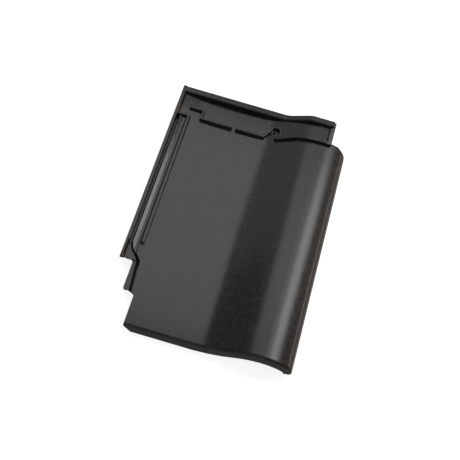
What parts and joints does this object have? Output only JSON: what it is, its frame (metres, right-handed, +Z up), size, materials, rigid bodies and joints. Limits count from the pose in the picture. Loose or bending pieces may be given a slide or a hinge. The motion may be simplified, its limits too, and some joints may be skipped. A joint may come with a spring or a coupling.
{
  "type": "interlocking roof tile",
  "caption": "Black engobed interlocking clay roof tile with a flat pan, a low roll, side and head interlocks, nibs and a nail hole.",
  "frame": {"origin": "floor under the middle of the tile's box, as it lies on its nose and nibs", "axes": "+X to the roll side, +Y to the head (upper end), +Z up"},
  "size_m": [0.2888, 0.4656, 0.0533],
  "materials": {
    "engobed_clay": "satin black engobe on fired clay"
  },
  "bodies": {
    "root": {"roof_tile": "engobed_clay"}
  },
  "joints": []
}
